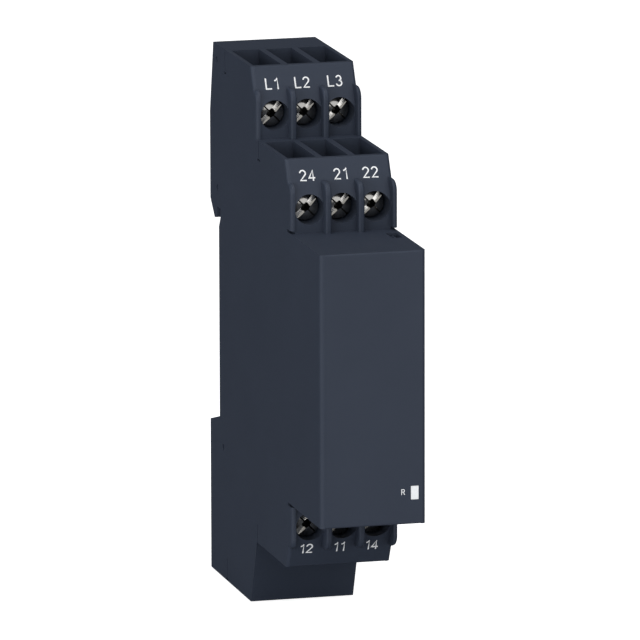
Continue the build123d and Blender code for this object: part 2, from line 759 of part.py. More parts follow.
def light_guide():
    """The clear elbow that carries the lamp's light to the front face."""
    cross = guide_y()
    right = LAMP_X + LAMP_WIDTH / 2
    left = BOARD_FACE + LED_HEIGHT + GUIDE_GAP
    points = [
        (left, cross[0]),
        (right - LAMP_WIDTH, cross[0]),
        (right - LAMP_WIDTH, -FRONT_DEPTH),
        (right, -FRONT_DEPTH),
        (right, cross[1] - LAMP_WIDTH / 2),
        (right - LAMP_WIDTH / 2, cross[1]),
        (left, cross[1]),
    ]
    face = Plane.XY.offset(LAMP_Z - LAMP_HEIGHT / 2) * make_face(Polyline(*points, close=True))
    return extrude(face, LAMP_HEIGHT)


def relay_box(relay_y, u, v, w):
    """A block in a relay's own measures: along it, across it and off the board."""
    x = (BOARD_FACE + w[0], BOARD_FACE + w[1])
    y = (relay_y + v[0], relay_y + v[1])
    return box(x, y, (RELAY_FOOT + u[0], RELAY_FOOT + u[1]))


def relay_rod(relay_y, u, w, diameter):
    """A round bar along the relay."""
    middle = RELAY_FOOT + (u[0] + u[1]) / 2
    return Pos(BOARD_FACE + w, relay_y, middle) * Cylinder(diameter / 2, u[1] - u[0])


def rivet(relay_y, u, w):
    """A round contact rivet that stands off the board's side."""
    z = RELAY_FOOT + u
    return rod_x(relay_y, z, BOARD_FACE + w[0], BOARD_FACE + w[1], CONTACT_DIAMETER)


def relay_parts(relay_y):
    """The pieces of one sealed change-over relay, by name."""
    half = RELAY_WIDTH / 2
    wall = RELAY_WALL
    length, height = RELAY_LENGTH, RELAY_HEIGHT
    cover = relay_box(relay_y, (0, length), (-half, half), (0, height))
    inner = half - wall
    cover -= relay_box(relay_y, (wall, length - wall), (-inner, inner), (-PAST, height - wall))
    gap = wall + RELAY_CLEARANCE
    base = relay_box(relay_y, (gap, length - gap), (gap - half, half - gap), (0, RELAY_BASE))

    yoke_v = (-YOKE_WIDTH / 2, YOKE_WIDTH / 2)
    core_w = (YOKE_FOOT + YOKE_TOP - YOKE_THICKNESS) / 2
    coil_start = YOKE_START + YOKE_THICKNESS
    coil_end = coil_start + COIL_LENGTH
    yoke_end = coil_end + CORE_REACH + AIR_GAP
    yoke = relay_box(relay_y, (YOKE_START, coil_start), yoke_v, (RELAY_BASE, YOKE_TOP))
    yoke += relay_box(relay_y, (YOKE_START, yoke_end), yoke_v, (YOKE_TOP - YOKE_THICKNESS, YOKE_TOP))
    core = relay_rod(relay_y, (coil_start, coil_end + CORE_REACH), core_w, CORE_DIAMETER)

    flange = BOBBIN_FLANGE_SIZE / 2
    bobbin = relay_rod(relay_y, (coil_start, coil_end), core_w, CORE_DIAMETER + 2 * BOBBIN_WALL)
    for start in (coil_start, coil_end - COIL_FLANGE):
        bobbin += relay_box(
            relay_y, (start, start + COIL_FLANGE), (-flange, flange), (core_w - flange, core_w + flange)
        )
    bore = CORE_DIAMETER + 2 * BOBBIN_CLEARANCE
    bobbin -= relay_rod(relay_y, (coil_start - PAST, coil_end + PAST), core_w, bore)
    winding_span = (coil_start + COIL_FLANGE, coil_end - COIL_FLANGE)
    winding = relay_rod(relay_y, winding_span, core_w, COIL_DIAMETER)
    winding -= relay_rod(relay_y, winding_span, core_w, CORE_DIAMETER + 2 * BOBBIN_WALL)

    armature_u = (yoke_end + HINGE_GAP, yoke_end + HINGE_GAP + ARMATURE_THICKNESS)
    armature_v = (-ARMATURE_WIDTH / 2, ARMATURE_WIDTH / 2)
    armature = relay_box(relay_y, armature_u, armature_v, (YOKE_FOOT + ARMATURE_RISE, YOKE_TOP))
    blade_u = (armature_u[1], armature_u[1] + BLADE_LENGTH)
    blade_v = (-BLADE_WIDTH / 2, BLADE_WIDTH / 2)
    blade_w = (BLADE_W, BLADE_W + BLADE_THICKNESS)
    contact_u = blade_u[1] - CONTACT_DIAMETER / 2
    blade = relay_box(relay_y, blade_u, blade_v, blade_w)
    blade += rivet(relay_y, contact_u, (blade_w[0] - CONTACT_HEIGHT, blade_w[1] + CONTACT_HEIGHT))

    closed_low = blade_w[1] + CONTACT_HEIGHT + CONTACT_REST_GAP
    open_high = blade_w[0] - CONTACT_HEIGHT - CONTACT_OPEN_GAP
    strip = CONTACT_STRIP
    post = length - gap - CONTACT_POST_GAP
    reach = contact_u - CONTACT_DIAMETER / 2
    closed_w = closed_low + CONTACT_HEIGHT
    closed_top = closed_w + strip
    closed_contact = relay_box(relay_y, (post - strip, post), blade_v, (RELAY_BASE, closed_top))
    closed_contact += relay_box(relay_y, (reach, post), blade_v, (closed_w, closed_top))
    closed_contact += rivet(relay_y, contact_u, (closed_low, closed_w + SKIN))
    open_w = open_high - CONTACT_HEIGHT
    open_post = contact_u + CONTACT_DIAMETER / 2
    open_contact = relay_box(relay_y, (open_post - strip, open_post), blade_v, (RELAY_BASE, open_w))
    open_contact += relay_box(relay_y, (reach, open_post), blade_v, (open_w - strip, open_w))
    open_contact += rivet(relay_y, contact_u, (open_w - SKIN, open_high))
    return {
        "cover": cover,
        "base": base,
        "yoke": yoke,
        "core": core,
        "bobbin": bobbin,
        "winding": winding,
        "armature": armature,
        "moving_contact": blade,
        "closed_contact": closed_contact,
        "open_contact": open_contact,
    }


def smoothing_capacitor():
    """A round capacitor that stands on the board."""
    y, z = CAPACITOR_YZ
    can = rod_x(y, z, BOARD_FACE, BOARD_FACE + CAPACITOR_HEIGHT, CAPACITOR_DIAMETER)
    rim = can.edges().filter_by(GeomType.CIRCLE).sort_by(Axis.X)[-1]
    return chamfer(rim, CAPACITOR_CHAMFER)


def film_capacitor():
    """The boxed mains capacitor."""
    y, z = FILM_CAPACITOR_YZ
    height, width, length = FILM_CAPACITOR_SIZE
    x = (BOARD_FACE, BOARD_FACE + height)
    return box(x, (y - width / 2, y + width / 2), (z - length / 2, z + length / 2))


def varistor():
    """The disc that limits surges, on edge on the board."""
    y, z = VARISTOR_YZ
    low = y - VARISTOR_THICKNESS / 2
    disc_x = BOARD_FACE + VARISTOR_LIFT + VARISTOR_DIAMETER / 2
    disc = rod_y(disc_x, z, low, low + VARISTOR_THICKNESS, VARISTOR_DIAMETER)
    leg_half, span_half = VARISTOR_LEG_WIDTH / 2, VARISTOR_LEG_SPAN / 2
    leg_x = (BOARD_FACE, BOARD_FACE + VARISTOR_LEG_HEIGHT)
    return disc + box(leg_x, (y - leg_half, y + leg_half), (z - span_half, z + span_half))


def microcontroller():
    """The flat chip that watches the phases."""
    y, z = CHIP_YZ
    half = CHIP_SIZE / 2
    return box((BOARD_FACE, BOARD_FACE + CHIP_HEIGHT), (y - half, y + half), (z - half, z + half))


def rail_latch():
    """The slide that locks the module to the rail, drawn down to let the rail in."""
    half = LATCH_WIDTH / 2
    y = (LATCH_FRONT, LATCH_FRONT + LATCH_THICKNESS)
    slope = LOWER_LIP_DROP / REAR_DEPTH
    tops = [LOWER_LIP_HEIGHT - slope * value - LATCH_CLEARANCE for value in y]
    corners = [(y[0], LATCH_FOOT), (y[0], tops[0]), (y[1], tops[1]), (y[1], LATCH_FOOT)]
    latch = slab(corners, -half, half)
    ears_z = (LATCH_EAR_FOOT, LATCH_EAR_FOOT + LATCH_EAR_HEIGHT)
    latch += box((-half - LATCH_EAR, half + LATCH_EAR), y, ears_z)
    slot_z = (LATCH_FOOT + LATCH_SLOT_RISE, LATCH_FOOT + LATCH_SLOT_RISE + LATCH_SLOT_HEIGHT)
    slot_half = LATCH_SLOT_WIDTH / 2
    return latch - box((-slot_half, slot_half), (y[0] - PAST, y[1] + PAST), slot_z)


def main():
    parts = {
        "housing": housing(),
        "side_cover": side_cover(),
        "rail_latch": rail_latch(),
        "circuit_board": circuit_board(),
        "status_led": status_led(),
        "light_guide": light_guide(),
        "smoothing_capacitor": smoothing_capacitor(),
        "film_capacitor": film_capacitor(),
        "varistor": varistor(),
        "microcontroller": microcontroller(),
    }
    for row in ROWS:
        parts[f"terminal_block_{row.name}"] = terminal_block(row)
        for index, pole in enumerate(POLES):
            place = f"{row.name}_{index + 1}"
            parts[f"terminal_screw_{place}"] = screw(row, pole)
            parts[f"clamp_cage_{place}"] = cage(row, pole)
            parts[f"contact_bar_{place}"] = contact_bar(row, index)
    for number in (1, 2):
        relay_y = -FRONT_DEPTH + RELAY_SETBACK + (number - 1) * RELAY_PITCH
        for name, part in relay_parts(relay_y).items():
            parts[f"relay_{number}_{name}"] = part
    os.makedirs("parts", exist_ok=True)
    for name, part in parts.items():
        part.label = name
        export_step(part, f"parts/{name}.step")


main()
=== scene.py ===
# %% [markdown]
# A slim control relay for a mounting rail
# The CAD model already holds every solid piece in its true place, from the moulded housing to the
# coils inside. This scene gives each piece its finish, prints the terminal numbers, and lights the
# relay the way a catalogue does. All lengths are metres unless a name ends in mm.

# %% Load the frame
import math

import bpy
import numpy as np
from mathutils import Matrix, Vector


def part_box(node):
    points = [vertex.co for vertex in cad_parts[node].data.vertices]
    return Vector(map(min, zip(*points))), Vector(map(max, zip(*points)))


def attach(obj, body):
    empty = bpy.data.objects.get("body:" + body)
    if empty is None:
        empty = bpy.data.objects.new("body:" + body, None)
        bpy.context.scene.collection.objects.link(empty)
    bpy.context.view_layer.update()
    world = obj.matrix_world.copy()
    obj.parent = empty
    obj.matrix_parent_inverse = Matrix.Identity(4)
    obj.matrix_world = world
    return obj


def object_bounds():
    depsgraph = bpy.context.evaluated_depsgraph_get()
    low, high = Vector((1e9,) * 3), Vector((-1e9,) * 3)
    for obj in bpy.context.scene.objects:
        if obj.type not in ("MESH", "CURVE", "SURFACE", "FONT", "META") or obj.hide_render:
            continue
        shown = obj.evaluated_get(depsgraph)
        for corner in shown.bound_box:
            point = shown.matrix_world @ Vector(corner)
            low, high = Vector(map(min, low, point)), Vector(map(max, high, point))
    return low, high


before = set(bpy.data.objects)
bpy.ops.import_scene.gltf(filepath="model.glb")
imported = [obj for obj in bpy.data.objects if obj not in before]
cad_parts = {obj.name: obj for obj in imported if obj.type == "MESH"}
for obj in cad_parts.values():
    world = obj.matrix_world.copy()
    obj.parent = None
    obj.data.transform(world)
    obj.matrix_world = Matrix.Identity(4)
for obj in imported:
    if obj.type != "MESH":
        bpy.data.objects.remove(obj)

cad_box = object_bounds()
MM = 0.001
print("CAD box in mm", [[round(v / MM, 2) for v in corner] for corner in cad_box])


# %% [markdown]
# Three small helpers
# Colours are picked as sRGB hex values, the way a paint chart lists them, and Blender wants linear
# light, so one function turns the first into the second. The next adds a shader node, sets or links
# its inputs and hands back one output, so that each material below reads like a recipe from top to
# bottom. The last gives a finished material to the CAD pieces.

# %% Colour, node and dressing helpers
def linear(code):
    """Linear colour from an sRGB hex code: each channel is undone from the sRGB curve."""
    srgb = np.array([int(code[i:i + 2], 16) for i in (1, 3, 5)]) / 255
    flat = np.where(srgb <= 0.04045, srgb / 12.92, ((srgb + 0.055) / 1.055) ** 2.4)
    return (*flat.tolist(), 1.0)


def add(owner, kind, inputs=None, output=0, stops=(), **settings):
    """Adds a node with its settings; an input is a value or another node's output, stops fill a ramp."""
    node = owner.node_tree.nodes.new("ShaderNode" + kind)
    for name, value in settings.items():
        setattr(node, name, value)
    for socket, value in (inputs or {}).items():
        if isinstance(value, bpy.types.NodeSocket):
            owner.node_tree.links.new(value, node.inputs[socket])
        else:
            node.inputs[socket].default_value = value
    if stops:
        for element, (position, colour) in zip(node.color_ramp.elements, stops):
            element.position, element.color = position, linear(colour)
    return node.outputs[output] if node.outputs else node


def bare(data):
    """A new material or world with an empty node tree."""
    data.use_nodes = True
    data.node_tree.nodes.clear()
    return data


def dress(names, material):
    """Gives each CAD node whose name starts with one of these words the material."""
    count = 0
    for name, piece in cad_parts.items():
        if name.startswith(tuple(names)):
            piece.data.materials.clear()
            piece.data.materials.append(material)
            count += 1
    print(material.name, "on", count, "pieces")


# %% [markdown]
# The camera
# The photograph was taken from far away with a long lens, so the relay shows almost no perspective.
# The camera stands to the left and a little above, and its place was fitted to the module's edges.

# %% Place the camera
CAMERA_PLACE = Vector((-0.38734, -1.49737, 0.31335))
TURN, RISE, ROLL = math.radians(14.811), math.radians(11.524), math.radians(-0.1494)
LENS = 532.33

back = Vector((-math.sin(TURN) * math.cos(RISE), -math.cos(TURN) * math.cos(RISE), math.sin(RISE)))
right = Vector((math.cos(TURN), -math.sin(TURN), 0.0))
up = back.cross(right)
camera_data = bpy.data.cameras.new("catalogue_camera")
camera_data.lens = LENS
camera_data.sensor_width = 36.0
camera_data.clip_start, camera_data.clip_end = 0.05, 20.0
camera = bpy.data.objects.new("catalogue_camera", camera_data)
turn = Matrix((right, up, back)).transposed() @ Matrix.Rotation(ROLL, 3, "Z")
camera.matrix_world = Matrix.Translation(CAMERA_PLACE) @ turn.to_4x4()
bpy.context.collection.objects.link(camera)
bpy.context.scene.camera = camera
bpy.context.scene.view_settings.view_transform = "Standard"
print("camera", [round(v, 4) for v in CAMERA_PLACE], "lens", LENS)


# %% [markdown]
# The floor and the room
# The catalogue picture is cut out on white. A pale floor far larger than the view, which glows a
# little like a light table, comes close to that. Matt plastic wants an even, pale room round it, so
# that corners darken softly, and polished screws want a dark one, so that only the lamps shine in
# them. The Light Path node tells the two apart: matt faces gather light from a pale room and floor,
# mirrored rays meet dark card, and the camera sees plain white.

# %% Floor
def grid_sheet(name, half_size, height, cells=8):
    """A flat sheet: x and y run over an even grid and z stays at the given height."""
    steps = np.linspace(-half_size, half_size, cells + 1)
    x, y = np.meshgrid(steps, steps)
    points = np.column_stack([x.ravel(), y.ravel(), np.full(x.size, height)])
    i, j = np.meshgrid(np.arange(cells), np.arange(cells))
    first = (i * (cells + 1) + j).ravel()
    faces = np.column_stack([first, first + 1, first + cells + 2, first + cells + 1])
    mesh = bpy.data.meshes.new(name)
    mesh.from_pydata(points.tolist(), [], faces.tolist())
    sheet = bpy.data.objects.new(name, mesh)
    bpy.context.collection.objects.link(sheet)
    return sheet


FLOOR_HALF = 3.0
FLOOR_GAP = 0.2 * MM
floor = grid_sheet("pale_floor", FLOOR_HALF, cad_box[0][2] - FLOOR_GAP)

# What the camera sees is white paper that glows a little; matt faces gather pale card from the floor
# and mirrored rays meet dark card.
card = bare(bpy.data.materials.new("white_paper_sweep"))
seen = add(card, "LightPath", output="Is Camera Ray")
fibres = add(card, "TexNoise", {"Vector": add(card, "TexCoord", output="Object"), "Scale": 40.0})
paper = add(card, "ValToRGB", {"Fac": fibres}, stops=((0.0, "#D8D8D8"), (1.0, "#DEDEDE")))
pale = add(card, "BsdfPrincipled", {
    "Base Color": paper, "Roughness": 0.9,
    "Emission Color": linear("#FFFFFF"), "Emission Strength": 0.88,
})
soft = add(card, "LightPath", output="Is Diffuse Ray")
dark_card = add(card, "BsdfDiffuse", {"Color": linear("#4A4C50")})
grey_card = add(card, "BsdfDiffuse", {"Color": linear("#D0D2D5")})
unseen = add(card, "MixShader", {0: soft, 1: dark_card, 2: grey_card})
add(card, "OutputMaterial", {"Surface": add(card, "MixShader", {0: seen, 1: unseen, 2: pale})})
floor.data.materials.append(card)


# %% Studio room
room = bare(bpy.data.worlds.new("studio_room"))
dark_walls = add(room, "Background", {"Color": linear("#C9CED6"), "Strength": 0.12})
pale_walls = add(room, "Background", {"Color": linear("#F2F5FA"), "Strength": 0.33})
white = add(room, "Background", {"Color": linear("#FFFFFF"), "Strength": 1.0})
soft = add(room, "LightPath", output="Is Diffuse Ray")
seen = add(room, "LightPath", output="Is Camera Ray")
unseen = add(room, "MixShader", {0: soft, 1: dark_walls, 2: pale_walls})
add(room, "OutputWorld", {"Surface": add(room, "MixShader", {0: seen, 1: unseen, 2: white})})
bpy.context.scene.world = room


# %% [markdown]
# The lamps
# The front of this relay is only some forty percent brighter than its left side, so the lamps balance
# one another. One wide soft box stands in front and above for the front and the screw heads, a second
# lifts the left side and a third the top. A small bright card low in front of the relay is what the
# flat floors of the screw slots mirror. Each strength is the share of full white that a white card
# facing the lamp would show, and the power follows from it and the distance.

# %% Soft boxes
def soft_box(name, bearing, rise, distance, width, height, share):
    """A rectangular lamp facing the relay; its power is share times pi squared times distance squared."""
    bearing, rise = math.radians(bearing), math.radians(rise)
    level = math.cos(rise)
    way = Vector((math.sin(bearing) * level, -math.cos(bearing) * level, math.sin(rise)))
    data = bpy.data.lights.new(name, "AREA")
    data.shape, data.size, data.size_y = "RECTANGLE", width, height
    data.energy = share * (math.pi * distance) ** 2
    lamp = bpy.data.objects.new(name, data)
    lamp.location = way * distance
    lamp.rotation_euler = way.to_track_quat("Z", "Y").to_euler()
    lamp.visible_camera = False
    bpy.context.collection.objects.link(lamp)
    print(name, "power", round(data.energy, 3), "W")


# Bearing and rise are in degrees, the rest in metres; the last number is the share.
soft_box("key_soft_box", -5, 26, 0.9, 1.0, 0.6, 0.19)
soft_box("left_soft_box", -62, 10, 0.9, 1.0, 0.4, 0.45)
soft_box("top_soft_box", -10, 78, 0.9, 0.6, 0.6, 0.40)
soft_box("low_front_card", 15, -1, 0.25, 0.09, 0.075, 0.065)


# %% [markdown]
# The moulded housing
# Such relays are moulded in a dark slate-grey glass-filled plastic, and the mould is spark eroded,
# which leaves an even matt grain about a third of a millimetre wide. The grain is a fine noise
# that moves the normal a little and the gloss a little; the colour itself drifts by only a few
# percent over a centimetre, as moulded plastic does where it filled the tool at different speeds.
# A skin as rough as this mirrors less than smooth plastic does, so its specular level is lowered.

# %% Slate-grey moulded plastic
DRIFT_MM = 12.0
GRAIN_RISE_MM = 0.02


def moulded_plastic(name, dark, light, roughness, grain_mm, depth):
    """Spark-eroded plastic: drifting colour, fine bump of grain_mm, gloss broken by the grain."""
    material = bare(bpy.data.materials.new(name))
    place = add(material, "TexCoord", output="Object")
    drift = add(material, "TexNoise", {"Vector": place, "Scale": 1 / (DRIFT_MM * MM), "Detail": 2.0})
    colour = add(material, "ValToRGB", {"Fac": drift}, stops=((0.3, dark), (0.7, light)))
    grain = add(material, "TexNoise", {"Vector": place, "Scale": 1 / (grain_mm * MM), "Detail": 3.0})
    low, high = roughness - 0.05, roughness + 0.05
    gloss = add(material, "MapRange", {"Value": grain, "To Min": low, "To Max": high})
    rise = GRAIN_RISE_MM * MM
    bump = add(material, "Bump", {"Height": grain, "Strength": depth, "Distance": rise})
    shader = add(material, "BsdfPrincipled", {
        "Base Color": colour, "Roughness": gloss, "IOR": 1.53, "Normal": bump,
        "Specular IOR Level": 0.35,
    })
    add(material, "OutputMaterial", {"Surface": shader})
    return material


# Glass-filled polyamide: matt and even, so an edge shows only as a soft pale line.
slate = moulded_plastic("slate_glass_filled_polyamide", "#313948", "#333B4A", 0.6, 0.35, 0.25)
dress(["housing", "side_cover", "terminal_block"], slate)
# Acetal: darker and a little waxy, as sliding parts are.
latch_plastic = moulded_plastic("black_acetal", "#17181B", "#1B1C1F", 0.4, 0.5, 0.3)
dress(["rail_latch"], latch_plastic)


# %% [markdown]
# The terminal screws
# The heads are cold-headed steel with a bright nickel plate, which mirrors the soft boxes in clear
# bright and dark fields. The lathe leaves faint rings round the middle and the plate is never quite
# even, so the gloss drifts in soft clouds. Shade is painted in as a near-black colour in the recess,
# on the head below a depth of 0.8 mm and in the narrow groove across the slot. All of this is laid
# out from the screw's own axis, which a Mapping node brings to the origin and turns with the slot.
# Depths are measured from the crown of the head.

# %% Nickel-plated steel
RING_MM = 0.3
CLOUD_MM = 0.6
SLOT_TURN = math.radians(-45.0)
GROOVE_HALF = 0.12 * MM
RECESS_RIM = 0.80 * MM
RECESS_CORE = 0.74 * MM


def plated_screw(name, axis_point):
    """Nickel: rings of RING_MM as bump, clouds as gloss, and painted shade where it is deep or in the
    groove.
    """
    material = bare(bpy.data.materials.new(name))
    place = add(material, "TexCoord", output="Object")
    centred = add(
        material, "Mapping",
        {"Vector": place, "Location": axis_point, "Rotation": (0.0, SLOT_TURN, 0.0)},
        vector_type="TEXTURE",
    )
    across = add(material, "SeparateXYZ", {"Vector": centred}, output="X")
    depth = add(material, "SeparateXYZ", {"Vector": centred}, output="Y")
    flat = add(material, "VectorMath", {0: centred, 1: (1.0, 0.0, 1.0)}, operation="MULTIPLY")
    radius = add(material, "VectorMath", {0: flat}, output="Value", operation="LENGTH")
    middle = add(material, "MapRange", {
        "Value": radius, "From Min": RECESS_RIM, "From Max": RECESS_CORE,
    })
    sunk = add(material, "MapRange", {"Value": depth, "From Min": 0.2 * MM, "From Max": 0.35 * MM})
    recess = add(material, "Math", {0: middle, 1: sunk}, operation="MULTIPLY")
    deep = add(material, "MapRange", {"Value": depth, "From Min": 0.8 * MM, "From Max": 1.0 * MM})
    groove = add(material, "Math", {0: across, 1: 0.0, 2: GROOVE_HALF}, operation="COMPARE")
    wells = add(material, "Math", {0: recess, 1: deep}, operation="MAXIMUM")
    painted_shade = add(material, "Math", {0: groove, 1: wells}, operation="MAXIMUM")
    # Painted shade: the nickel turns near black in the recess, below 0.8 mm depth and in the groove.
    tone = add(material, "ValToRGB", {"Fac": painted_shade}, stops=((0.0, "#C4C2BE"), (1.0, "#1B1A18")))
    clouds = add(material, "TexNoise", {"Vector": place, "Scale": 1 / (CLOUD_MM * MM)})
    gloss = add(material, "MapRange", {"Value": clouds, "To Min": 0.12, "To Max": 0.2})
    rings = add(
        material, "TexWave",
        {"Vector": centred, "Scale": 2 * math.pi / 20 / (RING_MM * MM), "Distortion": 0.4},
        output="Fac", wave_type="RINGS", rings_direction="Y",
    )
    bump = add(material, "Bump", {"Height": rings, "Strength": 0.1, "Distance": 0.01 * MM})
    shader = add(material, "BsdfPrincipled", {
        "Base Color": tone, "Metallic": 1.0, "Roughness": gloss, "Normal": bump,
    })
    add(material, "OutputMaterial", {"Surface": shader})
    return material


for node in [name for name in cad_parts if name.startswith("terminal_screw")]:
    (left_x, front_y, low_z), (right_x, _, high_z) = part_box(node)
    axis_point = ((left_x + right_x) / 2, front_y, (low_z + high_z) / 2)
    dress([node], plated_screw("bright_nickel_" + node, axis_point))


# %% [markdown]
# Metal inside the terminals and on the board
# The cages are folded from zinc-plated strip, the contact bars are tinned brass, and the relay
# irons carry a thin nickel flash. All three are metals with a soft cloudy gloss; only the colour
# and the size of the clouds differ.

# %% Sheet metals
def plated_sheet(name, code, low_gloss, high_gloss, cloud_mm):
    """Rolled and plated sheet: metal whose tone and roughness drift in clouds of cloud_mm."""
    material = bare(bpy.data.materials.new(name))
    place = add(material, "TexCoord", output="Object")
    rolled = add(material, "Mapping", {"Vector": place, "Scale": (1.0, 1.0, 0.25)})
    clouds = add(material, "TexNoise", {"Vector": rolled, "Scale": 1 / (cloud_mm * MM), "Detail": 4.0})
    tone = add(material, "ValToRGB", {"Fac": clouds}, stops=((0.2, code), (0.8, "#D5D3CE")))
    gloss = add(material, "MapRange", {"Value": clouds, "To Min": low_gloss, "To Max": high_gloss})
    shader = add(material, "BsdfPrincipled", {"Base Color": tone, "Metallic": 1.0, "Roughness": gloss})
    add(material, "OutputMaterial", {"Surface": shader})
    return material


dress(["clamp_cage"], plated_sheet("zinc_plated_strip", "#B9BCC0", 0.3, 0.5, 0.8))
dress(["contact_bar"], plated_sheet("tinned_brass", "#C2BBAE", 0.25, 0.4, 0.5))
irons = [f"relay_{n}_{part}" for n in (1, 2) for part in ("yoke", "core", "armature")]
dress(irons, plated_sheet("nickel_flashed_iron", "#A8A8A6", 0.35, 0.5, 1.0))
strips = [f"relay_{n}_{part}" for n in (1, 2) for part in ("moving", "closed", "open")]
dress(strips, plated_sheet("phosphor_bronze", "#B98A5C", 0.25, 0.4, 0.5))


# %% [markdown]
# Plastics inside
# The pieces that the closed housing hides get their own finish too, so that the model stands up
# when it is opened: blue relay covers, black bases, white bobbins and lacquered parts on the board.

# %% Plastic parts on the board
inner_plastics = {
    "blue_relay_cover": (["relay_1_cover", "relay_2_cover"], "#1C4E93", "#225AA3", 0.2, 2.0),
    "black_relay_base": (["relay_1_base", "relay_2_base"], "#1A1B1D", "#202124", 0.45, 0.4),
    "white_bobbin_polyester": (["relay_1_bobbin", "relay_2_bobbin"], "#DAD8D0", "#E2E0DA", 0.5, 0.5),
    "white_lamp_ceramic": (["status_led"], "#E6E5E0", "#EFEEEA", 0.4, 0.3),
    "yellow_film_capacitor_box": (["film_capacitor"], "#C99A22", "#D0A22B", 0.4, 0.5),
    "blue_varistor_lacquer": (["varistor"], "#20447E", "#274E8C", 0.3, 0.8),
    "black_moulding_epoxy": (["microcontroller"], "#17181B", "#1B1C1F", 0.4, 0.5),
}
for name, (nodes, dark, light, roughness, grain_mm) in inner_plastics.items():
    dress(nodes, moulded_plastic(name, dark, light, roughness, grain_mm, 0.3))
dress(["smoothing_capacitor"], plated_sheet("sleeved_aluminium_can", "#B4B6BA", 0.3, 0.45, 1.5))


# %% [markdown]
# The coils
# Enamelled copper wire is wound side by side, so a coil shows fine rings along its length. A wave
# along Z, one ridge for each wire, gives them as bump, and the same wave paints shade into the
# valleys between the wires as darker copper. The wire is 0.2 mm, far finer than the picture
# shows, but a closer view finds it.

# %% Enamelled copper wire
WIRE_MM = 0.2
enamel = bare(bpy.data.materials.new("enamelled_copper_winding"))
enamel_place = add(enamel, "TexCoord", output="Object")
wires = add(
    enamel, "TexWave",
    {"Vector": enamel_place, "Scale": 2 * math.pi / 20 / (WIRE_MM * MM), "Distortion": 0.3},
    output="Fac", wave_type="BANDS", bands_direction="Z",
)
# Painted shade: the copper is darker in the valleys between the wires and lighter on the crests.
copper_and_valley_shade = add(enamel, "ValToRGB", {"Fac": wires}, stops=((0.0, "#7E3D1C"), (0.6, "#A5562B")))
ridges = add(enamel, "Bump", {"Height": wires, "Strength": 0.6, "Distance": 0.05 * MM})
lacquer = add(enamel, "BsdfPrincipled", {
    "Base Color": copper_and_valley_shade, "Metallic": 0.6, "Roughness": 0.3, "Normal": ridges,
})
add(enamel, "OutputMaterial", {"Surface": lacquer})
dress(["relay_1_winding", "relay_2_winding"], enamel)


# %% [markdown]
# The circuit board
# Glass epoxy under a green solder mask. The mask is glossy, and over the copper it looks lighter.
# A Voronoi pattern measured in straight steps gives lighter tracks about three millimetres apart.

# %% Solder mask
TRACK_MM = 3.0
board = bare(bpy.data.materials.new("green_solder_mask_on_glass_epoxy"))
board_place = add(board, "TexCoord", output="Object")
tracks = add(
    board, "TexVoronoi", {"Vector": board_place, "Scale": 1 / (TRACK_MM * MM)},
    output="Distance", feature="DISTANCE_TO_EDGE", distance="MANHATTAN",
)
mask = add(board, "ValToRGB", {"Fac": tracks}, stops=((0.08, "#2E7A4B"), (0.14, "#1C5C36")))
mask_gloss = add(board, "BsdfPrincipled", {"Base Color": mask, "Roughness": 0.35})
add(board, "OutputMaterial", {"Surface": mask_gloss})
dress(["circuit_board"], board)


# %% [markdown]
# A milky elbow carries the lamp's light to the front. Unlit, its end looks like a small white
# tablet, so the plastic scatters light instead of passing it straight. A faint painted glow, an
# emission while the lamp is off, makes the tablet brighter still.

# %% Milky light guide
milky = bare(bpy.data.materials.new("milky_polycarbonate"))
milky_place = add(milky, "TexCoord", output="Object")
haze = add(milky, "TexNoise", {"Vector": milky_place, "Scale": 1 / (1.5 * MM)})
tint = add(milky, "ValToRGB", {"Fac": haze}, stops=((0.2, "#EEF0F0"), (0.8, "#F6F7F7")))
# Painted glow: the unlit tablet emits a little light of its own.
tablet = add(milky, "BsdfPrincipled", {
    "Base Color": tint, "Roughness": 0.3, "IOR": 1.58,
    "Emission Color": linear("#FFFFFF"), "Emission Strength": 0.08,
})
add(milky, "OutputMaterial", {"Surface": tablet})
dress(["light_guide"], milky)


# %% [markdown]
# The printed numbers
# The numbers beside the screws are pad printed in white ink, a few hundredths of a millimetre thick.
# Sign writers draw such figures with one even stroke, so each figure here is a path, and a flat
# ribbon of ink is carried along it. Corners are mitred: at each point the ribbon's edge lies on the
# line that halves the angle between the two strokes. The paths are given for a figure one unit tall.

# %% Lines and arcs
STROKE = 0.118
LOW, HIGH, HALF = STROKE / 2, 1 - STROKE / 2, STROKE / 2


def arc(centre, radii, start, stop, points=13):
    """Points of an ellipse arc: centre plus radii times cosine and sine of each angle, in degrees."""
    angle = np.radians(np.linspace(start, stop, points))
    return np.column_stack([centre[0] + radii[0] * np.cos(angle), centre[1] + radii[1] * np.sin(angle)])


def path(*runs):
    """One stroke path from points and arcs, in order."""
    return np.vstack([np.atleast_2d(run) for run in runs]).astype(float)


# %% Figures as stroke paths
one = path((0.10, 0.76), arc((0.10, 1.0), (0.25, 0.23), -75, -12, 6), (0.36, 1.0), (0.36, 0.0))
two = path(arc((0.29, HIGH - 0.25), (0.235, 0.25), 172, -28, 19), (0.075, LOW + 0.012), (0.58, LOW))
three = path(
    arc((0.275, HIGH - 0.215), (0.20, 0.215), 165, -78, 19),
    arc((0.275, LOW + 0.235), (0.233, 0.235), 82, -168, 21),
)
four = path((0.41 - HALF, 0.26), (0.05, 0.26), (0.41, 0.93), (0.41, 0.0))
bowl = path(
    (HALF, 0.0), (HALF, HIGH), (0.37, HIGH),
    arc((0.37, HIGH - 0.22), (0.21, 0.22), 80, -80, 11), (HALF * 2, HIGH - 0.44),
)
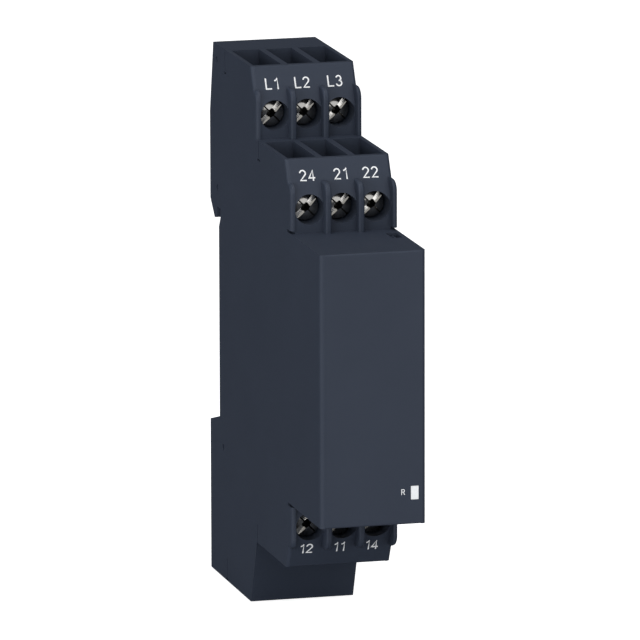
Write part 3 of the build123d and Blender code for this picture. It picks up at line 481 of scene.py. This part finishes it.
# Each figure: its width and its strokes.
FIGURES = {
    "L": (0.54, [path((HALF, 1.0), (HALF, LOW), (0.54, LOW))]),
    "1": (0.41, [one]),
    "2": (0.58, [two]),
    "3": (0.56, [three]),
    "4": (0.58, [four, path((0.41 + HALF, 0.26), (0.58, 0.26))]),
    "R": (0.66, [bowl, path((0.38, HIGH - 0.47), (0.60, 0.0))]),
}
print("figures:", ", ".join(f"{name} {width}" for name, (width, _) in FIGURES.items()))


# %% Ribbon of ink along a path
def ribbon(points, width, lift):
    """A flat bar along a path: four corners at each point, joined to the next point's, ends closed."""
    step = np.diff(points, axis=0)
    step /= np.linalg.norm(step, axis=1, keepdims=True)
    side = np.column_stack([-step[:, 1], step[:, 0]])
    before, after = np.vstack([side[:1], side]), np.vstack([side, side[-1:]])
    mitre = before + after
    mitre /= np.maximum((mitre * before).sum(axis=1, keepdims=True), 0.55)
    top = np.full((len(points), 1), lift)
    left_top = np.hstack([points + mitre * width / 2, top])
    right_top = np.hstack([points - mitre * width / 2, top])
    down = np.array([1.0, 1.0, -1.0])
    corners = np.stack([left_top, right_top, right_top * down, left_top * down], axis=1)
    first = np.arange(len(points) - 1)[:, None] * 4
    ring = np.array([[0, 4, 5, 1], [1, 5, 6, 2], [2, 6, 7, 3], [3, 7, 4, 0]])
    walls = (first[:, :, None] + ring[None]).reshape(-1, 4)
    last = (len(points) - 1) * 4
    ends = np.array([[0, 1, 2, 3], [last + 3, last + 2, last + 1, last]])
    return corners.reshape(-1, 3), np.vstack([walls, ends])


# %% [markdown]
# Laying the figures on the label faces
# Each label face starts at its row's outer edge and leans forward by 28 degrees towards the screws.
# A figure's own right, up and out directions are three unit vectors in the relay's frame, so laying
# it down is one matrix product.

# %% White pad-print ink
ink = bare(bpy.data.materials.new("white_pad_print_ink"))
ink_place = add(ink, "TexCoord", output="Object")
cover = add(ink, "TexNoise", {"Vector": ink_place, "Scale": 1 / (0.3 * MM)})
ink_tone = add(ink, "ValToRGB", {"Fac": cover}, stops=((0.2, "#F6F7F7"), (0.8, "#FDFDFD")))
ink_shader = add(ink, "BsdfPrincipled", {"Base Color": ink_tone, "Roughness": 0.6})
add(ink, "OutputMaterial", {"Surface": ink_shader})


# %% Print a word
INK = 0.02 * MM
FIGURE_GAP = 0.17


def printed(name, words, height_mm, centre_mm, upwards, outwards):
    """Figures of a given height, centred at a point, laid in the plane across the outward direction."""
    points, faces, at, count = [], [], 0.0, 0
    for letter in words:
        width, strokes = FIGURES[letter]
        for stroke in strokes:
            corners, quads = ribbon(stroke, STROKE, 1.0)
            points.append(corners + (at, 0.0, 0.0))
            faces.append(quads + count)
            count += len(corners)
        at += width + FIGURE_GAP
    flat = np.vstack(points) - ((at - FIGURE_GAP) / 2, 0.5, 0.0)
    upwards, outwards = np.array(upwards, float), np.array(outwards, float)
    label_axes = np.vstack([np.cross(upwards, outwards), upwards, outwards])
    scale = np.array([height_mm * MM, height_mm * MM, INK])
    laid = (flat * scale) @ label_axes + np.array(centre_mm) * MM
    mesh = bpy.data.meshes.new(name)
    mesh.from_pydata(laid.tolist(), [], np.vstack(faces).tolist())
    mesh.materials.append(ink)
    piece = bpy.data.objects.new(name, mesh)
    bpy.context.collection.objects.link(piece)
    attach(piece, "casing")


# %% Print the terminal numbers and the lamp's letter
LABEL_TILT = math.radians(28.0)
FIGURE_MM = 1.95
# Each row: label edge (y, z) in mm, which way its screws lie, distance along the face, and the
# figures with their places across the module in mm.
LABEL_ROWS = {
    "upper": ((-21.6, 45.0), -1, 3.12, (("L1", -5.57), ("L2", -0.46), ("L3", 5.08))),
    "middle": ((-43.6, 33.5), -1, 2.85, (("24", -5.38), ("21", 0.17), ("22", 5.16))),
    "lower": ((-43.6, -34.0), 1, 3.75, (("12", -5.87), ("11", -0.32), ("14", 5.16))),
}
for row, ((edge_y, edge_z), way, reach, labels) in LABEL_ROWS.items():
    along = np.array([0.0, -math.sin(LABEL_TILT), way * math.cos(LABEL_TILT)])
    outwards = np.array([0.0, -math.cos(LABEL_TILT), -way * math.sin(LABEL_TILT)])
    for words, place in labels:
        centre = np.array([place, edge_y, edge_z]) + along * reach
        printed(f"label_{row}_{words}", words, FIGURE_MM, centre, along * way, outwards)
# The lamp's letter stands upright on the front face, which is the front of the CAD box.
LETTER_MM = 0.92
letter_centre = (4.96, cad_box[0][1] / MM, -17.55)
printed("label_R", "R", LETTER_MM, letter_centre, (0, 0, 1), (0, -1, 0))
print("labels printed:", sum(len(labels) for *_, labels in LABEL_ROWS.values()) + 1)
